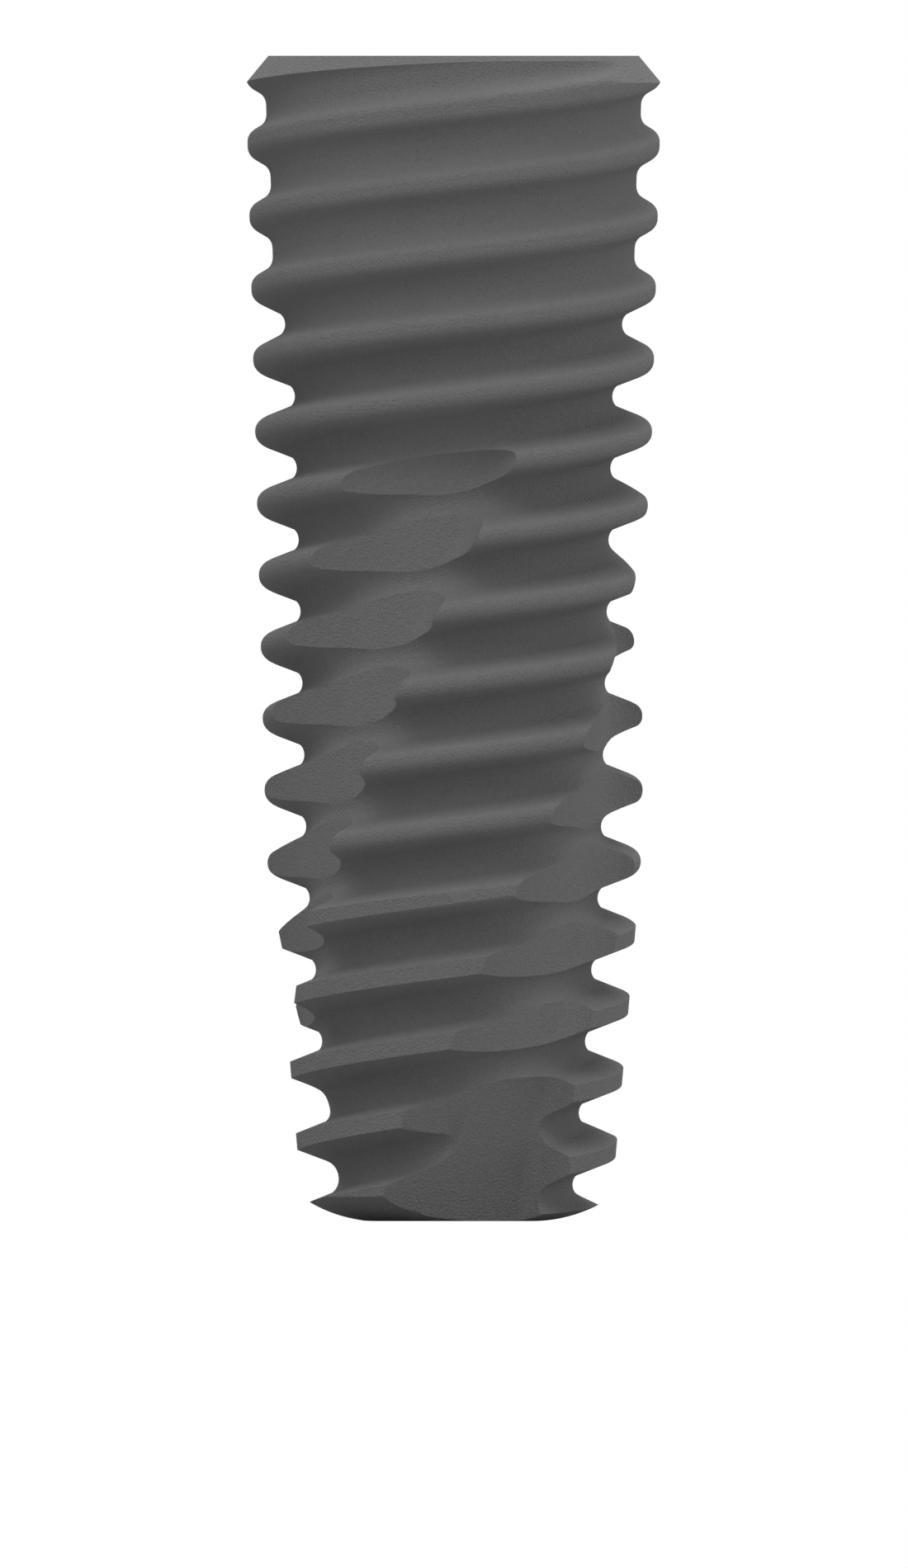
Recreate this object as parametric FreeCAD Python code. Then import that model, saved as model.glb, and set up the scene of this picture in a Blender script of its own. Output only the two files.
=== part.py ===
import FreeCAD, Part
import math
import os

# Dental implant: a titanium root-form screw turned and milled from one bar.
# Frame: Z is the screw's axis. The apex stands on z = 0 and the platform,
# where the abutment seats, faces up. The front of the part faces -Y.
# All sizes are in millimetres and degrees.

V = FreeCAD.Vector

# Overall form
overall_length = 11.5
crest_diameter = 4.116
body_taper = 1.51
apical_break = 3.442
apical_taper = 4.99
apex_flat_diameter = 1.547
apex_round = 1.425
platform_diameter = 3.658
platform_bevel_angle = 39.7

# Outer thread: two starts, right-handed
pitch = 0.7072
starts = 2
first_groove_drop = 0.531
crest_radius = 0.102
root_radius = 0.179
steps_per_turn = 12

# Thread form: distance below the platform, groove depth, half width of the
# groove's floor between the sharp corners, and flank angle, at three places
coronal_end = 1.943
coronal_depth = 0.219
coronal_floor = 0.147
coronal_flank = 30.0
middle_drop = 2.650
middle_depth = 0.324
middle_floor = 0.107
middle_flank = 26.0
deep_start = 3.358
deep_depth = 0.402
deep_floor = 0.1254
deep_flank = 20.0
neck_drop = 1.242
neck_shallowing = 0.036

# Cutting flutes: milled along a steep right-handed helix. Distance from the
# axis, width, fillet and turn from the front are those at the apex. The
# place where the run-out starts is measured down from the platform
flute_count = 3
flute_lead = 22.94
flute_apex_distance = 1.34
flute_floor_taper = 1.86
flute_apex_width = 0.41
flute_apex_fillet = 0.268
flute_apex_turn = 6.5
flute_runout_drop = 4.2
flute_runout = 0.334

# Apical cuts: one straight cut at the foot of each flute, turned on from it.
# At the height given it bends outwards in an arc and leaves the crests
apical_cut_distance = 0.882
apical_cut_slope = 16.2
apical_cut_offset = 19.6
apical_cut_lean = 20.0
apical_cut_fillet = 0.221
apical_cut_height = 1.2
apical_cut_runout = 1.1

# Inner connection, open at the platform
mouth_diameter = 3.2
hex_across_flats = 2.5
hex_depth = 1.7
relief_diameter = 2.0
relief_depth = 2.3
screw_bore_diameter = 1.58
screw_bore_depth = 6.0
drill_tip_angle = 59.0

# Values that follow from the ones above
lead = pitch * starts
reach = crest_diameter / 2 + 0.25
body_slope = math.tan(math.radians(body_taper))
apical_slope = math.tan(math.radians(apical_taper))
flute_runout_start = overall_length - flute_runout_drop
apical_cut_turn = flute_apex_turn + apical_cut_offset


def polar(radius, turn, z):
    """Point at a radius and an angle in degrees counted from +X."""
    a = math.radians(turn)
    return V(radius * math.cos(a), radius * math.sin(a), z)


def blend(x, places, values):
    """Straight-line reading between rising places, held level outside."""
    if x <= places[0]:
        return values[0]
    for i in range(1, len(places)):
        if x <= places[i]:
            share = (x - places[i - 1]) / (places[i] - places[i - 1])
            return values[i - 1] + share * (values[i] - values[i - 1])
    return values[-1]


def crest_cone(z):
    return crest_diameter / 2 - body_slope * (overall_length - z)


def apical_cone(z):
    return crest_cone(apical_break) - apical_slope * (apical_break - z)


def groove_form(z):
    """Depth, half floor and flank angle of the groove centred at height z."""
    drop = overall_length - z
    places = [coronal_end, middle_drop, deep_start]
    depth = blend(drop, places, [coronal_depth, middle_depth, deep_depth])
    floor = blend(drop, places, [coronal_floor, middle_floor, deep_floor])
    flank = blend(drop, places, [coronal_flank, middle_flank, deep_flank])
    if drop < neck_drop:
        depth -= neck_shallowing * min(neck_drop - drop, 1.0)
    if z < apical_break:
        low = max(z, 0.0)
        depth += crest_cone(low) - apical_cone(low)
    return depth, floor, flank


def groove_corners(centre):
    """Corners of one groove as offset along the axis and depth.

    The round of the crest and of the root is taken in two equal bends, so
    each becomes one bevel that touches the round in its middle.
    """
    depth, floor, flank = groove_form(centre)
    a = math.radians(flank)
    crest = min(floor + depth * math.tan(a), pitch / 2 * 0.97)
    run = crest - floor
    length = math.hypot(run, depth)
    bend = math.radians(90 - flank) / 2
    share = math.tan(bend) - math.tan(bend / 2)
    top = min(crest_radius * share, 0.45 * length, 0.9 * (pitch / 2 - crest))
    foot = min(root_radius * share, 0.45 * length, 0.9 * floor)
    half = [(crest + top, 0.0)]
    half.append((crest - run * top / length, depth * top / length))
    half.append((floor + run * foot / length, depth * (1 - foot / length)))
    half.append((floor - foot, depth))
    return [(-offset, drop) for offset, drop in half] + half[::-1]


def thread_section(centre, turn):
    """Points from one groove's lower edge to the next groove's lower edge."""
    points = []
    for offset, drop in groove_corners(centre):
        z = centre + offset
        points.append(polar(crest_cone(z) - drop, turn, z))
    z = centre + pitch + groove_corners(centre + pitch)[0][0]
    points.append(polar(crest_cone(z), turn, z))
    return points


def thread_turn(base):
    """Helical strips of one full turn of the groove that starts at base.

    The control rows are corrected until the strips pass through every
    section, so neighbouring turns share their edges.
    """
    step = 360.0 / steps_per_turn
    passes = 6
    rows = []
    for i in range(-1 - passes, steps_per_turn + 2 + passes):
        rows.append(thread_section(base + lead * i / steps_per_turn, i * step))
    poles = rows
    for trim in range(1, passes + 1):
        better = []
        for i in range(1, len(poles) - 1):
            wanted = rows[i + trim - 1]
            row = []
            for below, here, above, target in zip(
                    poles[i - 1], poles[i], poles[i + 1], wanted):
                passed = (below + here * 4 + above) / 6.0
                row.append(here + target - passed)
            better.append(row)
        poles = better
    knots = [float(i) for i in range(-3, steps_per_turn + 4)]
    strips = []
    for j in range(len(rows[0]) - 1):
        strip = Part.BSplineSurface()
        strip.buildFromPolesMultsKnots(
            [row[j:j + 2] for row in poles], [1] * len(knots), [2, 2],
            knots, [0.0, 1.0], False, False, 3, 1)
        strip.segment(0.0, float(steps_per_turn), 0.0, 1.0)
        strips.append(strip)
    return strips


def end_faces(edge, section_edges):
    """Close one end of the thread: a helical ramp and a flat step."""
    start = edge.valueAt(edge.FirstParameter)
    stop = edge.valueAt(edge.LastParameter)
    axis = Part.makeLine(V(0, 0, start.z), V(0, 0, stop.z))
    ramp = Part.makeRuledSurface(axis, edge)
    rim = [Part.makeLine(V(0, 0, start.z), start), Part.makeLine(stop, V(0, 0, stop.z))]
    loop = Part.Wire(Part.__sortEdges__([axis] + rim + section_edges))
    return [ramp, Part.Face(loop)]


def threaded_bar():
    """Solid bar that carries the thread past both ends of the part."""
    reference = overall_length - first_groove_drop
    turns_down = math.ceil((reference + 0.5) / lead) + 1
    turns_up = math.ceil((first_groove_drop + 0.5) / lead) + 1
    faces = []
    low_edges = []
    high_edges = []
    end = float(steps_per_turn)
    for turn in range(-turns_down, turns_up):
        for start in range(starts):
            strips = thread_turn(reference + lead * turn + pitch * start)
            faces += [strip.toShape() for strip in strips]
            if turn == -turns_down:
                low_edges += [strip.uIso(0.0).toShape() for strip in strips]
            if turn == turns_up - 1:
                high_edges += [strip.uIso(end).toShape() for strip in strips]
            if turn == -turns_down and start == 0:
                low_helix = strips[0].vIso(0.0).toShape()
    high_helix = strips[-1].vIso(1.0).toShape()
    faces += end_faces(low_helix, low_edges) + end_faces(high_helix, high_edges)
    shell = Part.Shell(faces)
    shell.sewShape()
    bar = Part.Solid(shell)
    bar.fix(1e-5, 1e-5, 1e-4)
    if bar.Volume < 0:
        bar.reverse()
    return bar


def outer_envelope():
    """Turned blank: apex dome, apical cone and platform bevel.

    Its side stands clear of the crests, which the thread itself gives. The
    seam of its round faces lies inside the first apical cut.
    """
    flat = apex_flat_diameter / 2
    wide = apical_cone(0) - flat
    a = 1 + apical_slope ** 2
    b = 2 * (apical_slope * wide - apex_round)
    side_z = (-b - math.sqrt(b * b - 4 * a * wide * wide)) / (2 * a)
    turn = math.acos(1 - side_z / apex_round) / 2
    middle = V(flat + apex_round * math.sin(turn), 0, apex_round * (1 - math.cos(turn)))
    side = V(apical_cone(side_z), 0, side_z)
    cone_top = apical_break + (reach - crest_cone(apical_break)) / apical_slope
    platform = platform_diameter / 2
    bevel = math.tan(math.radians(platform_bevel_angle))
    corners = [side, V(reach, 0, cone_top)]
    corners.append(V(reach, 0, overall_length - (reach - platform) / bevel))
    corners.append(V(platform, 0, overall_length))
    corners.append(V(0, 0, overall_length))
    corners.append(V(0, 0, 0))
    corners.append(V(flat, 0, 0))
    edges = [Part.makeLine(p, q) for p, q in zip(corners, corners[1:])]
    edges.append(Part.Arc(V(flat, 0, 0), middle, side).toShape())
    face = Part.Face(Part.Wire(Part.__sortEdges__(edges)))
    face.rotate(V(0, 0, 0), V(0, 0, 1), apical_cut_turn - 90)
    return face.revolve(V(0, 0, 0), V(0, 0, 1), 360)


def cutter_section(turn, z, floor, fillet, foot, tilt):
    """Closed outline of a cut across the axis at height z.

    The floor is a line at the distance floor from the axis, square to the
    direction turn. A wall leaning by tilt rises from foot, the place on the
    floor where wall and floor would meet, with a fillet between them.
    """
    a = math.radians(turn - 90)
    out_way = V(math.cos(a), math.sin(a), 0)
    side_way = V(-math.sin(a), math.cos(a), 0)
    lean = math.radians(tilt)
    bend = (math.pi / 2 - lean) / 2
    back = fillet * math.tan(bend)
    top = reach + 0.4
    rise = fillet * (1 - math.cos(bend))
    along = foot - back + fillet * math.sin(bend)
    corner = [(-reach, floor), (foot - back, floor), (along, floor + rise)]
    corner.append((foot + back * math.sin(lean), floor + back * math.cos(lean)))
    corner.append((foot + (top - floor) * math.tan(lean), top))
    corner.append((-reach, top))
    p = [side_way * u + out_way * v + V(0, 0, z) for u, v in corner]
    edges = [Part.makeLine(p[0], p[1]), Part.Arc(p[1], p[2], p[3]).toShape()]
    edges += [Part.makeLine(p[3], p[4]), Part.makeLine(p[4], p[5])]
    edges.append(Part.makeLine(p[5], p[0]))
    return Part.Wire(edges)


def flute_cutter():
    """Twisted valley from below the apex up to its rounded run-out."""
    taper = math.tan(math.radians(flute_floor_taper))
    places = []
    steps = 14
    for i in range(steps + 1):
        z = -0.6 + (flute_runout_start + 0.6) * i / steps
        places.append((z, 0.0))
    for i in range(1, 7):
        a = math.radians(15 * i)
        z = flute_runout_start + flute_runout * math.sin(a)
        places.append((z, flute_runout * (1 - math.cos(a))))
    wires = []
    for z, lift in places:
        floor = flute_apex_distance + taper * z
        share = floor / flute_apex_distance
        turn = flute_apex_turn + 360 * z / flute_lead
        wires.append(cutter_section(
            turn, z, floor + lift, flute_apex_fillet * share, flute_apex_width * share, 0))
    return Part.makeLoft(wires, True, False)


def apical_cutter():
    """Sloping flat floor with a rounded run-out, and a wall that leans."""
    slope = math.radians(apical_cut_slope)
    last = math.radians(75)
    below = -0.5
    places = [(below, apical_cut_distance + math.tan(slope) * below)]
    inner = apical_cut_distance + math.tan(slope) * apical_cut_height
    for i in range(7):
        a = slope + (last - slope) * i / 6
        z = apical_cut_height + apical_cut_runout * (math.sin(a) - math.sin(slope))
        places.append((z, inner + apical_cut_runout * (math.cos(slope) - math.cos(a))))
    wires = []
    for z, floor in places:
        foot = floor * math.tan(math.radians(apical_cut_lean))
        wires.append(cutter_section(
            apical_cut_turn, z, floor, apical_cut_fillet, foot, apical_cut_lean))
    return Part.makeLoft(wires, True, True)


def inner_connection():
    """Lead-in bevel, hexagon, relief and the bore for the abutment screw."""
    top = overall_length
    mouth = mouth_diameter / 2
    corner = hex_across_flats / 2 / math.cos(math.radians(30))
    relief = relief_diameter / 2
    bore = screw_bore_diameter / 2
    tip = bore / math.tan(math.radians(drill_tip_angle))
    step = (relief - bore) / math.tan(math.radians(45))
    outline = [V(0, 0, top + 0.2), V(mouth + 0.2, 0, top + 0.2)]
    outline.append(V(relief, 0, top - mouth + relief))
    outline.append(V(relief, 0, top - relief_depth))
    outline.append(V(bore, 0, top - relief_depth - step))
    outline.append(V(bore, 0, top - screw_bore_depth))
    outline.append(V(0, 0, top - screw_bore_depth - tip))
    outline.append(outline[0])
    turned = Part.Face(Part.makePolygon(outline)).revolve(V(0, 0, 0), V(0, 0, 1), 360)
    points = [polar(corner, 30 + 60 * i, top - hex_depth) for i in range(7)]
    socket = Part.Face(Part.makePolygon(points)).extrude(V(0, 0, hex_depth + 0.2))
    return turned.fuse(socket)


def implant():
    body = threaded_bar().common(outer_envelope())
    body = body.cut(inner_connection())
    for cutter in (apical_cutter(), flute_cutter()):
        for i in range(flute_count):
            copy = cutter.copy()
            copy.rotate(V(0, 0, 0), V(0, 0, 1), 360.0 * i / flute_count)
            body = body.cut(copy)
    return body.Solids[0] if len(body.Solids) == 1 else body


os.makedirs("parts", exist_ok=True)
body = implant()
body.exportStep("parts/implant_body.step")
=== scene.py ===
import math

import bmesh
import bpy
from mathutils import Matrix, Vector

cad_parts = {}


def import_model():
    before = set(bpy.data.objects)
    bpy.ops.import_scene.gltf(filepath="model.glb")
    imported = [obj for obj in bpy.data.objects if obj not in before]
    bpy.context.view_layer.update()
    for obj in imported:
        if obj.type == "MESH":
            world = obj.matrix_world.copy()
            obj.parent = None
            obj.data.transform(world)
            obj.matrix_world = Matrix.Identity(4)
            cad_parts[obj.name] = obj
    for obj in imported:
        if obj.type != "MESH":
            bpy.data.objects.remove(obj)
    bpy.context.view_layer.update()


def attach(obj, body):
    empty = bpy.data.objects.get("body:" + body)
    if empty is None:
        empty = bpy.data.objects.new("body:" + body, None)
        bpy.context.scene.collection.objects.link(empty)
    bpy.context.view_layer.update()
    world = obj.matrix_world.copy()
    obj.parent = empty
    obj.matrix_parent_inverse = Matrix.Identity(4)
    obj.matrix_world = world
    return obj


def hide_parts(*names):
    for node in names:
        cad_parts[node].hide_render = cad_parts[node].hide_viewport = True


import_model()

# Sizes of the part in millimetres and degrees, as in its source.
# Turned outline; the apical taper lies below the height BREAK
LENGTH = 11.5
CREST_DIAMETER = 4.116
BODY_TAPER = 1.51
BREAK = 3.442
APICAL_TAPER = 4.99
APEX_FLAT = 1.547
APEX_ROUND = 1.425
PLATFORM = 3.658
BEVEL = 39.7

# Outer thread with two starts. The groove's depth, half floor width and
# flank angle are given at three distances below the platform
PITCH = 0.7072
LEAD = 2 * PITCH
GROOVE = LENGTH - 0.531
CREST_ROUND = 0.102
ROOT_ROUND = 0.179
DROPS = (1.943, 2.650, 3.358)
DEPTHS = (0.219, 0.324, 0.402)
FLOORS = (0.147, 0.107, 0.1254)
FLANKS = (30.0, 26.0, 20.0)
NECK = 1.242
NECK_SHALLOWING = 0.036

# Helical flutes; distance, width, fillet and turn are those at the apex
FLUTES = 3
FLUTE_TOP = LENGTH - 4.2
FLUTE_RUNOUT = 0.334
FLUTE_FLOOR = 1.34
FLUTE_TAPER = 1.86
FLUTE_WIDTH = 0.41
FLUTE_FILLET = 0.268
FLUTE_LEAD = 22.94
FLUTE_TURN = 6.5

# Straight apical cuts, one at the foot of each flute
CUT_FLOOR = 0.882
CUT_SLOPE = 16.2
CUT_TURN = 26.1
CUT_LEAN = 20.0
CUT_FILLET = 0.221
CUT_HEIGHT = 1.2
CUT_RUNOUT = 1.1
CUT_STEEPEST = 75

# Inner connection and screw thread
MOUTH = 3.2
HEX = 2.5
HEX_DEPTH = 1.7
RELIEF = 2.0
RELIEF_DEPTH = 2.3
BORE = 1.58
BORE_DEPTH = 6.0
TIP = 59.0
SCREW = 2.0
SCREW_PITCH = 0.4
SCREW_END = 0.5

# Radius past every crest, and the cutters' outer side
REACH = CREST_DIAMETER / 2 + 0.25
CUTTER_SIDE = REACH + 0.4

# Fineness of the mesh, and the angle from which an edge is sharp
BAR_COLUMNS = 120
SCREW_COLUMNS = 48
BLANK_SEGMENTS = 160
SOCKET_SEGMENTS = 96
DOME_STEPS = 16
ROUND_STEPS = 5
FILLET_STEPS = 8
FLUTE_STEPS = 56
CUT_STEPS = 12
MERGE = 0.0004
SHARP = 28

# Millimetres to metres, a hair inside the solid
TO_METRES = (0.000999, 0.000999, 0.0009999)

# Bounds of the turned finish in metres: inside the bore, on the lead-in
# bevel (height less radius) and on the platform
INSIDE_RADIUS = 0.00145
INSIDE_HEIGHT = 0.0049
LEAD_IN = 0.00989
PLATFORM_HEIGHT = 0.0114975

# Blasted skin: colours, and the size of clouds, grain and grain height
DARK = (0.266, 0.2665, 0.267, 1)
PALE = (0.298, 0.2985, 0.299, 1)
CLOUD = 0.0011
GRAIN = 0.000022
GRAIN_HEIGHT = 0.000024
RINGS_PER_METRE = 40000.0

# Photograph's frame: metres per pixel, then in pixels the image's height, the
# row of the apex and the camera's step to the right of the axis. The camera's
# distance is in metres
SCALE = 0.0081428e-3
HEIGHT_PX = 1900
APEX_ROW = 1479.7
BESIDE_PX = 0.5
CAMERA_AWAY = 0.05

# Ground: half its width, its height, and its grey to the light and when seen
GROUND_REACH = 0.2
GROUND_HEIGHT = -0.00012
GROUND_LIT = (0.38, 0.38, 0.38, 1)
GROUND_SEEN = (0.78, 0.78, 0.78, 1)

# Light: direction and strength of each lobe, and the power of its falloff
LOBES = (
    ((1, 0, 0), 1.43),
    ((1, 1, 0), 0.30),
    ((0, 1, 1), 2.85),
    ((-1, -1, math.sqrt(2)), 1.14),
    ((0, -1, 1), 0.88),
    ((1, -1, math.sqrt(2)), 0.17),
    ((0, 0, 1), 0.79),
)
LOBE_POWER = 6.0


def tan(angle):
    return math.tan(math.radians(angle))


def sin(angle):
    return math.sin(math.radians(angle))


def cos(angle):
    return math.cos(math.radians(angle))


def blend(x, places, values):
    """Straight-line reading between rising places, held level outside."""
    if x <= places[0]:
        return values[0]
    for i in range(1, len(places)):
        if x <= places[i]:
            share = (x - places[i - 1]) / (places[i] - places[i - 1])
            return values[i - 1] + share * (values[i] - values[i - 1])
    return values[-1]


def crest_cone(z):
    return CREST_DIAMETER / 2 - tan(BODY_TAPER) * (LENGTH - z)


def apical_cone(z):
    return crest_cone(BREAK) - tan(APICAL_TAPER) * (BREAK - z)


# Closed meshes in millimetres

def solid(name, verts, faces):
    """Closed mesh object, not yet in any collection."""
    mesh = bpy.data.meshes.new(name)
    mesh.from_pydata(verts, [], faces)
    mesh.update()
    return bpy.data.objects.new(name, mesh)


def around(row, i, count):
    """Points of a (radius, z) row, turned by i of count steps from +X."""
    a = 2 * math.pi * i / count
    return [(r * math.cos(a), r * math.sin(a), z) for r, z in row]


def lathe(name, outline, segments):
    """Solid of revolution from (radius, z) points, both ends on the axis."""
    inner = outline[1:-1]
    count = len(inner)
    verts = [(0, 0, outline[0][1]), (0, 0, outline[-1][1])]
    for i in range(segments):
        verts += around(inner, i, segments)
    faces = []
    for i in range(segments):
        p = 2 + i * count
        q = 2 + (i + 1) % segments * count
        faces.append((0, q, p))
        faces.append((1, p + count - 1, q + count - 1))
        faces += [(p + k, q + k, q + k + 1, p + k + 1) for k in range(count - 1)]
    return solid(name, verts, faces)


def helix_bar(name, columns, column, shift):
    """Closed solid between helical columns of (radius, z) points.

    column(share) gives the points at a share of one turn from +X. The
    column after the last is the first one, moved up by shift rows.
    """
    rows = [column(i / columns) for i in range(columns + 1)]
    count = len(rows[0])
    verts = []
    for i in range(columns):
        verts += around(rows[i], i, columns)
    spare = len(verts)
    verts += [(r, 0.0, z) for r, z in rows[columns][count - shift:]]

    def at(i, k):
        if i < columns:
            return i * count + k
        if k + shift < count:
            return k + shift
        return spare + k + shift - count

    faces = []
    for i in range(columns):
        for k in range(count - 1):
            faces.append((at(i, k), at(i + 1, k), at(i + 1, k + 1), at(i, k + 1)))
    bottom = [at(i, 0) for i in range(columns + 1)]
    bottom += list(range(shift - 1, -1, -1))
    top = [at(i, count - 1) for i in range(columns + 1)]
    top += [at(columns, k) for k in range(count - 2, count - shift - 2, -1)]
    low = len(verts)
    verts.append((0.0, 0.0, rows[0][0][1] - 1.0))
    verts.append((0.0, 0.0, rows[columns][-1][1] + 1.0))
    for p, q in zip(bottom, bottom[1:]):
        faces.append((low, q, p))
    for p, q in zip(top, top[1:]):
        faces.append((low + 1, p, q))
    return solid(name, verts, faces)


def stack(name, sections):
    """Closed solid through sections with the same number of points."""
    count = len(sections[0])
    verts = [point for section in sections for point in section]
    faces = [tuple(range(count - 1, -1, -1))]
    for i in range(len(sections) - 1):
        for k in range(count):
            p = i * count + k
            q = i * count + (k + 1) % count
            faces.append((p, q, q + count, p + count))
    last = (len(sections) - 1) * count
    faces.append(tuple(range(last, last + count)))
    return solid(name, verts, faces)


# Forms of the part

def half_groove(centre):
    """Half of one groove, from its middle to the middle of the land.

    Pairs of offset along the axis and depth, with round roots and crests.
    """
    drop = LENGTH - centre
    depth = blend(drop, DROPS, DEPTHS)
    floor = blend(drop, DROPS, FLOORS)
    flank = blend(drop, DROPS, FLANKS)
    if drop < NECK:
        depth -= NECK_SHALLOWING * min(NECK - drop, 1.0)
    if centre < BREAK:
        low = max(centre, 0.0)
        depth += crest_cone(low) - apical_cone(low)
    turn = 90 - flank
    bend = tan(turn / 2)
    run = depth * tan(flank)
    crest = min(floor + run, PITCH / 2 * 0.97)
    length = math.hypot(run, depth)
    root = min(ROOT_ROUND, 0.98 * floor / bend, 0.45 * length / bend)
    top = min(CREST_ROUND, (PITCH / 2 - crest) / bend, 0.45 * length / bend)
    start = crest - run - root * bend
    points = [(0.0, depth)]
    for i in range(ROUND_STEPS + 1):
        a = turn * i / ROUND_STEPS
        points.append((start + root * sin(a), depth - root + root * cos(a)))
    end = crest + top * bend
    first = (end - top * sin(turn), top - top * cos(turn))
    last = points[-1]
    points.append(((first[0] + last[0]) / 2, (first[1] + last[1]) / 2))
    for i in range(ROUND_STEPS, -1, -1):
        a = turn * i / ROUND_STEPS
        points.append((end - top * sin(a), top - top * cos(a)))
    return points


def threaded_bar():
    """Bar with the outer thread, past both ends of the part."""
    below = math.ceil((GROOVE + 0.8) / PITCH) + 2
    above = 2

    def column(share):
        points = []
        for n in range(-below, above + 1):
            centre = GROOVE + PITCH * n + LEAD * share
            half = half_groove(centre)
            sides = [(-offset, depth) for offset, depth in half[:0:-1]] + half
            sides.append((PITCH / 2, 0.0))
            for offset, depth in sides:
                z = centre + offset
                points.append((crest_cone(z) - depth, z))
        return points

    rows = 2 * len(half_groove(GROOVE))
    return helix_bar("bar", BAR_COLUMNS, column, 2 * rows)


def screw_thread():
    """Thread for the abutment screw, cut into the lower part of the bore."""
    low = LENGTH - BORE_DEPTH + SCREW_END
    turns = math.ceil((BORE_DEPTH - RELIEF_DEPTH) / SCREW_PITCH)
    half = SCREW_PITCH / 2
    groove = [(BORE / 2 - 0.03, -0.79 * half), (SCREW / 2 - 0.02, -0.12 * half)]
    groove += [(r, -offset) for r, offset in groove[::-1]]

    def column(share):
        points = []
        for n in range(turns):
            centre = low + SCREW_PITCH * (n + share)
            points += [(r, centre + offset) for r, offset in groove]
        return points

    return helix_bar("tap", SCREW_COLUMNS, column, len(groove))


def envelope():
    """Turned outline: apex dome, apical cone and platform bevel."""
    flat = APEX_FLAT / 2
    wide = apical_cone(0) - flat
    slope = tan(APICAL_TAPER)
    a = 1 + slope ** 2
    b = 2 * (slope * wide - APEX_ROUND)
    side = (-b - math.sqrt(b * b - 4 * a * wide * wide)) / (2 * a)
    full = math.acos(1 - side / APEX_ROUND)
    outline = [(0.0, 0.0)]
    for i in range(DOME_STEPS + 1):
        turn = full * i / DOME_STEPS
        radius = flat + APEX_ROUND * math.sin(turn)
        outline.append((radius, APEX_ROUND * (1 - math.cos(turn))))
    outline.append((REACH, BREAK + (REACH - crest_cone(BREAK)) / slope))
    outline.append((REACH, LENGTH - (REACH - PLATFORM / 2) / tan(BEVEL)))
    outline.append((PLATFORM / 2, LENGTH))
    outline.append((0.0, LENGTH))
    return lathe("envelope", outline, BLANK_SEGMENTS)


def cut_section(turn, z, floor, fillet, foot, tilt):
    """Outline of a cut across the axis: floor line, fillet and leaning wall."""
    a = math.radians(turn - 90)
    bend = 90 - tilt
    start = foot - fillet * tan(bend / 2)
    corner = []
    for i in range(FILLET_STEPS + 1):
        corner.append((-REACH + (start + REACH) * i / FILLET_STEPS, floor))
    for i in range(1, FILLET_STEPS + 1):
        t = bend * i / FILLET_STEPS
        corner.append((start + fillet * sin(t), floor + fillet * (1 - cos(t))))
    corner.append((foot + (CUTTER_SIDE - floor) * tan(tilt), CUTTER_SIDE))
    corner.append((-REACH, CUTTER_SIDE))
    points = []
    for u, v in corner:
        x = v * math.cos(a) - u * math.sin(a)
        y = v * math.sin(a) + u * math.cos(a)
        points.append((x, y, z))
    return points[::-1]


def flute():
    """Twisted valley from below the apex up to its rounded run-out."""
    low = -0.6
    places = []
    for i in range(FLUTE_STEPS + 1):
        places.append((low + (FLUTE_TOP - low) * i / FLUTE_STEPS, 0.0))
    for i in range(1, FILLET_STEPS + 1):
        a = 90 * i / FILLET_STEPS
        lift = FLUTE_RUNOUT * (1 - cos(a))
        places.append((FLUTE_TOP + FLUTE_RUNOUT * sin(a), lift))
    sections = []
    for z, lift in places:
        floor = FLUTE_FLOOR + tan(FLUTE_TAPER) * z
        share = floor / FLUTE_FLOOR
        turn = FLUTE_TURN + 360 * z / FLUTE_LEAD
        sections.append(cut_section(
            turn, z, floor + lift, FLUTE_FILLET * share, FLUTE_WIDTH * share, 0))
    return stack("flute", sections)


def apical_cut():
    """Sloping flat floor with a rounded run-out, and a wall that leans."""
    places = [(-0.5, CUT_FLOOR - 0.5 * tan(CUT_SLOPE))]
    inner = CUT_FLOOR + tan(CUT_SLOPE) * CUT_HEIGHT
    for i in range(CUT_STEPS + 1):
        a = CUT_SLOPE + (CUT_STEEPEST - CUT_SLOPE) * i / CUT_STEPS
        z = CUT_HEIGHT + CUT_RUNOUT * (sin(a) - sin(CUT_SLOPE))
        places.append((z, inner + CUT_RUNOUT * (cos(CUT_SLOPE) - cos(a))))
    sections = []
    for z, floor in places:
        sections.append(cut_section(
            CUT_TURN, z, floor, CUT_FILLET, floor * tan(CUT_LEAN), CUT_LEAN))
    return stack("apical_cut", sections)


def socket():
    """Lead-in bevel, relief and screw bore, turned in one outline."""
    mouth = MOUTH / 2
    bore = BORE / 2
    relief = RELIEF / 2
    outline = [(0.0, LENGTH - BORE_DEPTH - bore / tan(TIP))]
    outline.append((bore, LENGTH - BORE_DEPTH))
    outline.append((bore, LENGTH - RELIEF_DEPTH - relief + bore))
    outline.append((relief, LENGTH - RELIEF_DEPTH))
    outline.append((relief, LENGTH - mouth + relief))
    outline.append((mouth + 0.2, LENGTH + 0.2))
    outline.append((0.0, LENGTH + 0.2))
    return lathe("socket", outline, SOCKET_SEGMENTS)


def hexagon():
    """Six flats for the abutment's key."""
    radius = HEX / 2 / cos(30)
    corners = [(radius * cos(30 + 60 * i), radius * sin(30 + 60 * i))
               for i in range(6)]
    return stack("hexagon", [[(x, y, z) for x, y in corners]
                             for z in (LENGTH - HEX_DEPTH, LENGTH + 0.3)])


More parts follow.
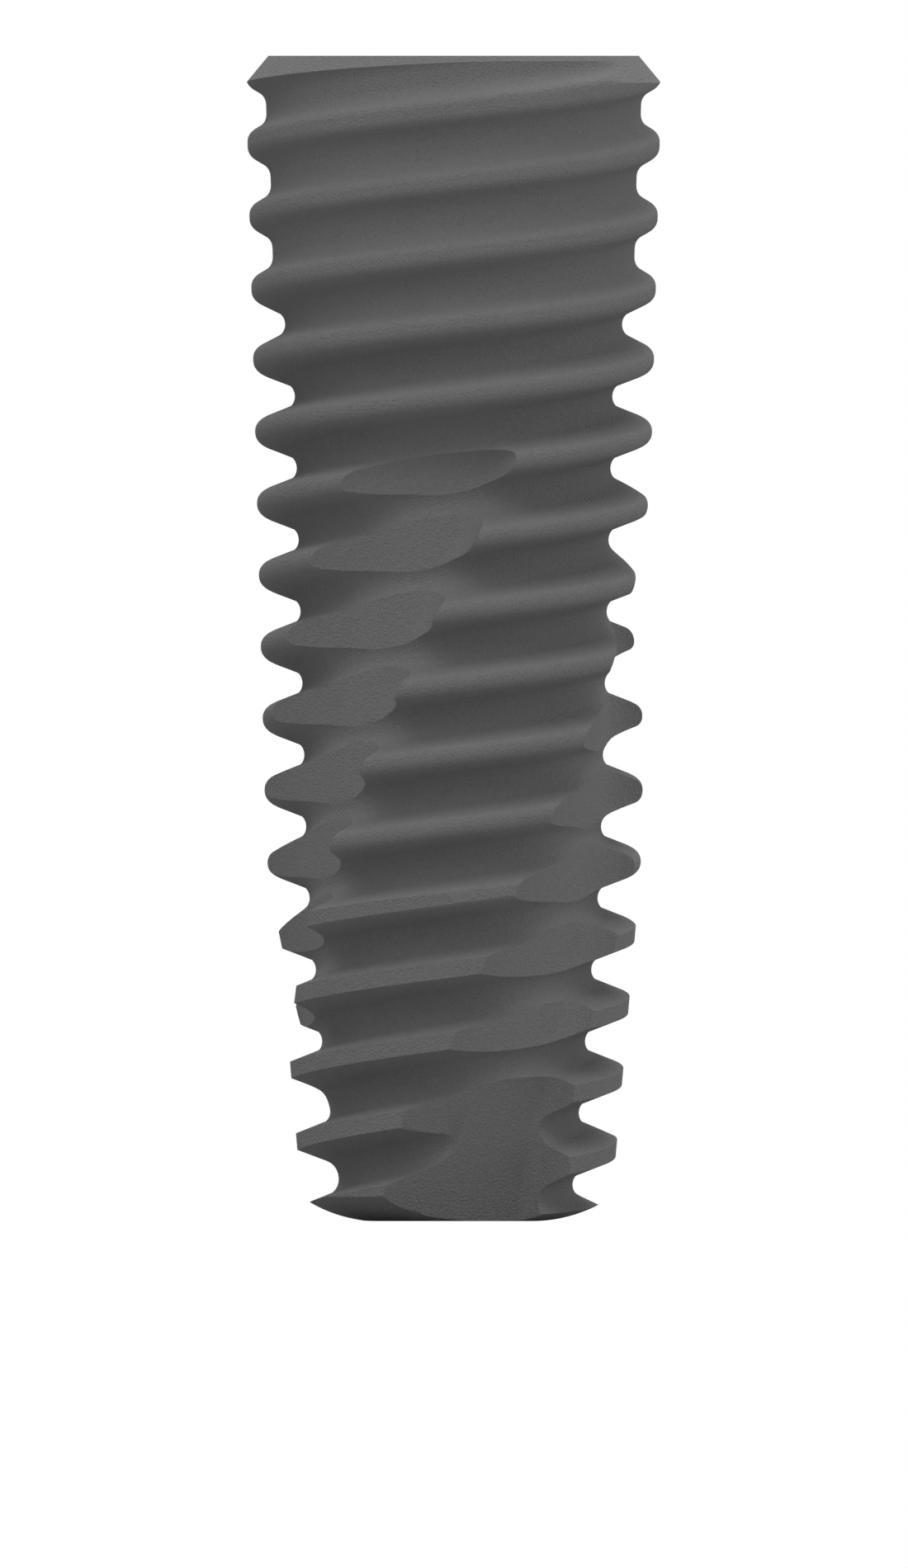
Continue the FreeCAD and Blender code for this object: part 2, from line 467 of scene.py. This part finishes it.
def combine(body, others, operation):
    """Applies one boolean of body with each of the others, in order."""
    collection = bpy.context.scene.collection
    collection.objects.link(body)
    for other in others:
        collection.objects.link(other)
        step = body.modifiers.new("step", "BOOLEAN")
        step.solver = "MANIFOLD"
        step.operation = operation
        step.object = other
    bpy.context.view_layer.update()
    shaped = body.evaluated_get(bpy.context.evaluated_depsgraph_get())
    mesh = bpy.data.meshes.new_from_object(shaped)
    for other in others + [body]:
        bpy.data.objects.remove(other)
    return mesh


def implant():
    """The whole part as one fine mesh in metres."""
    cutters = []
    for form in (flute, apical_cut):
        for i in range(FLUTES):
            cutter = form()
            turn = math.radians(360 / FLUTES * i)
            cutter.data.transform(Matrix.Rotation(turn, 4, "Z"))
            cutters.append(cutter)
    cutters += [socket(), hexagon(), screw_thread()]
    blank = combine(envelope(), [threaded_bar()], "INTERSECT")
    mesh = combine(bpy.data.objects.new("blank", blank), cutters, "DIFFERENCE")
    shape = bmesh.new()
    shape.from_mesh(mesh)
    bmesh.ops.remove_doubles(shape, verts=shape.verts, dist=MERGE)
    bmesh.ops.dissolve_degenerate(shape, edges=shape.edges, dist=MERGE)
    for face in shape.faces:
        face.smooth = True
    sharp = math.radians(SHARP)
    for edge in shape.edges:
        edge.smooth = len(edge.link_faces) == 2 and edge.calc_face_angle(0.0) < sharp
    bmesh.ops.scale(shape, vec=TO_METRES, verts=shape.verts)
    shape.to_mesh(mesh)
    shape.free()
    piece = bpy.data.objects.new("implant", mesh)
    bpy.context.scene.collection.objects.link(piece)
    return piece


# Materials

def principled(name):
    """A new material with its tree and its shader."""
    material = bpy.data.materials.new(name)
    material.use_nodes = True
    tree = material.node_tree
    return material, tree, tree.nodes["Principled BSDF"]


def feed(tree, socket, value):
    """Sets a socket to a number, or links it to another socket."""
    if isinstance(value, float):
        socket.default_value = value
    else:
        tree.links.new(value, socket)


def math_node(tree, operation, first, second):
    """One operation on first and second, each a socket or a number."""
    node = tree.nodes.new("ShaderNodeMath")
    node.operation = operation
    feed(tree, node.inputs[0], first)
    feed(tree, node.inputs[1], second)
    return node.outputs["Value"]


def mix_values(tree, factor, first, second):
    """first where factor is 0, second where it is 1."""
    node = tree.nodes.new("ShaderNodeMix")
    feed(tree, node.inputs["Factor"], factor)
    feed(tree, node.inputs["A"], first)
    feed(tree, node.inputs["B"], second)
    return node.outputs["Result"]


def noise(tree, vector, size, detail):
    """Noise whose features are about size metres across."""
    node = tree.nodes.new("ShaderNodeTexNoise")
    node.inputs["Scale"].default_value = 1.0 / size
    node.inputs["Detail"].default_value = detail
    tree.links.new(vector, node.inputs["Vector"])
    return node.outputs["Fac"]


def spread(tree, value, low, high):
    """Maps 0.3..0.7 of a noise to low..high."""
    node = tree.nodes.new("ShaderNodeMapRange")
    node.inputs["From Min"].default_value = 0.3
    node.inputs["From Max"].default_value = 0.7
    node.inputs["To Min"].default_value = low
    node.inputs["To Max"].default_value = high
    tree.links.new(value, node.inputs["Value"])
    return node.outputs["Result"]


def radius_and_height(tree, where):
    """Distance from the axis and height of a place."""
    axes = tree.nodes.new("ShaderNodeSeparateXYZ")
    tree.links.new(where, axes.inputs["Vector"])
    flat = tree.nodes.new("ShaderNodeCombineXYZ")
    tree.links.new(axes.outputs["X"], flat.inputs["X"])
    tree.links.new(axes.outputs["Y"], flat.inputs["Y"])
    length = tree.nodes.new("ShaderNodeVectorMath")
    length.operation = "LENGTH"
    tree.links.new(flat.outputs["Vector"], length.inputs[0])
    return length.outputs["Value"], axes.outputs["Z"]


def machined_mask(tree, radius, height):
    """1 on the platform and inside the connection, 0 on the blasted outside."""
    near = math_node(tree, "LESS_THAN", radius, INSIDE_RADIUS)
    high = math_node(tree, "GREATER_THAN", height, INSIDE_HEIGHT)
    bore = math_node(tree, "MINIMUM", near, high)
    rise = math_node(tree, "SUBTRACT", height, radius)
    lead_in = math_node(tree, "GREATER_THAN", rise, LEAD_IN)
    platform = math_node(tree, "GREATER_THAN", height, PLATFORM_HEIGHT)
    inside = math_node(tree, "MAXIMUM", bore, lead_in)
    return math_node(tree, "MAXIMUM", inside, platform)


def turning_marks(tree, height):
    """Low rings that follow the height."""
    rings = tree.nodes.new("ShaderNodeTexNoise")
    rings.noise_dimensions = "1D"
    rings.inputs["Scale"].default_value = RINGS_PER_METRE
    tree.links.new(height, rings.inputs["W"])
    return math_node(tree, "MULTIPLY", rings.outputs["Fac"], 0.08)


def blasted_titanium():
    """Grey titanium: blasted and etched outside, turned smooth at the platform.

    The blasted skin is matte with a fine pebbled grain. The platform and the
    inner connection keep faint turning marks and a dull shine.
    """
    material, tree, shader = principled("blasted_titanium")
    where = tree.nodes.new("ShaderNodeTexCoord").outputs["Object"]
    radius, height = radius_and_height(tree, where)
    machined = machined_mask(tree, radius, height)
    cloud = noise(tree, where, CLOUD, 3.0)
    fine = noise(tree, where, GRAIN, 2.0)
    ramp = tree.nodes.new("ShaderNodeValToRGB")
    ramp.color_ramp.elements[0].position = 0.30
    ramp.color_ramp.elements[0].color = DARK
    ramp.color_ramp.elements[1].position = 0.70
    ramp.color_ramp.elements[1].color = PALE
    feed(tree, ramp.inputs["Fac"], mix_values(tree, 0.7, cloud, fine))
    feed(tree, shader.inputs["Base Color"], ramp.outputs["Color"])
    rough = mix_values(tree, machined, spread(tree, fine, 0.7, 0.9), 0.42)
    feed(tree, shader.inputs["Roughness"], rough)
    feed(tree, shader.inputs["Metallic"], mix_values(tree, machined, 0.0, 0.5))
    shader.inputs["Specular IOR Level"].default_value = 0.0
    relief = mix_values(tree, machined, fine, turning_marks(tree, height))
    bump = tree.nodes.new("ShaderNodeBump")
    bump.inputs["Strength"].default_value = 1.0
    bump.inputs["Distance"].default_value = GRAIN_HEIGHT
    feed(tree, bump.inputs["Height"], relief)
    feed(tree, shader.inputs["Normal"], bump.outputs["Normal"])
    return material


# Stage

def camera():
    """Level parallel view along +Y, framed as the photograph."""
    data = bpy.data.cameras.new("camera")
    data.type = "ORTHO"
    data.ortho_scale = HEIGHT_PX * SCALE
    data.clip_start = 0.001
    data.clip_end = 1.0
    cam = bpy.data.objects.new("camera", data)
    bpy.context.scene.collection.objects.link(cam)
    height = (APEX_ROW - HEIGHT_PX / 2) * SCALE
    cam.location = (BESIDE_PX * SCALE, -CAMERA_AWAY, height)
    cam.rotation_euler = (math.radians(90), 0, 0)
    bpy.context.scene.camera = cam


def seen_rays(tree):
    """1 for rays from the camera, reflections and glass, 0 for the light."""
    path = tree.nodes.new("ShaderNodeLightPath")
    seen = path.outputs["Is Camera Ray"]
    for name in ("Is Glossy Ray", "Is Transmission Ray"):
        seen = math_node(tree, "MAXIMUM", seen, path.outputs[name])
    return seen


def floor():
    """Plain ground under the part: pale to look at, a mid grey to the light.

    It lies a little below the apex, so that light reaches under the dome.
    """
    mesh = bpy.data.meshes.new("floor")
    r = GROUND_REACH
    z = GROUND_HEIGHT
    corners = [(-r, -r, z), (r, -r, z), (r, r, z), (-r, r, z)]
    mesh.from_pydata(corners, [], [(0, 1, 2, 3)])
    ground = bpy.data.objects.new("floor", mesh)
    bpy.context.scene.collection.objects.link(ground)
    material, tree, shader = principled("floor")
    shade = tree.nodes.new("ShaderNodeMix")
    shade.data_type = "RGBA"
    shade.inputs["A"].default_value = GROUND_LIT
    shade.inputs["B"].default_value = GROUND_SEEN
    feed(tree, shade.inputs["Factor"], seen_rays(tree))
    feed(tree, shader.inputs["Base Color"], shade.outputs["Result"])
    shader.inputs["Roughness"].default_value = 0.9
    mesh.materials.append(material)


def world():
    """Soft studio light in wide lobes; seen directly it is plain white."""
    surround = bpy.data.worlds.new("world")
    bpy.context.scene.world = surround
    surround.use_nodes = True
    tree = surround.node_tree
    tree.nodes.clear()
    coords = tree.nodes.new("ShaderNodeTexCoord")
    total = 0.0
    for direction, strength in LOBES:
        dot = tree.nodes.new("ShaderNodeVectorMath")
        dot.operation = "DOT_PRODUCT"
        dot.inputs[1].default_value = Vector(direction).normalized()
        tree.links.new(coords.outputs["Generated"], dot.inputs[0])
        toward = math_node(tree, "MAXIMUM", dot.outputs["Value"], 0.0)
        lobe = math_node(tree, "POWER", toward, LOBE_POWER)
        total = math_node(
            tree, "ADD", math_node(tree, "MULTIPLY", lobe, strength), total)
    light = tree.nodes.new("ShaderNodeBackground")
    feed(tree, light.inputs["Strength"], total)
    white = tree.nodes.new("ShaderNodeBackground")
    white.inputs["Color"].default_value = (1, 1, 1, 1)
    mix = tree.nodes.new("ShaderNodeMixShader")
    feed(tree, mix.inputs["Fac"], seen_rays(tree))
    feed(tree, mix.inputs[1], light.outputs["Background"])
    feed(tree, mix.inputs[2], white.outputs["Background"])
    out = tree.nodes.new("ShaderNodeOutputWorld")
    feed(tree, out.inputs["Surface"], mix.outputs["Shader"])


metal = blasted_titanium()
part = implant()
part.data.materials.clear()
part.data.materials.append(metal)
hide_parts("implant_body")
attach(part, "root")
camera()
floor()
world()
bpy.context.scene.view_settings.view_transform = "Standard"
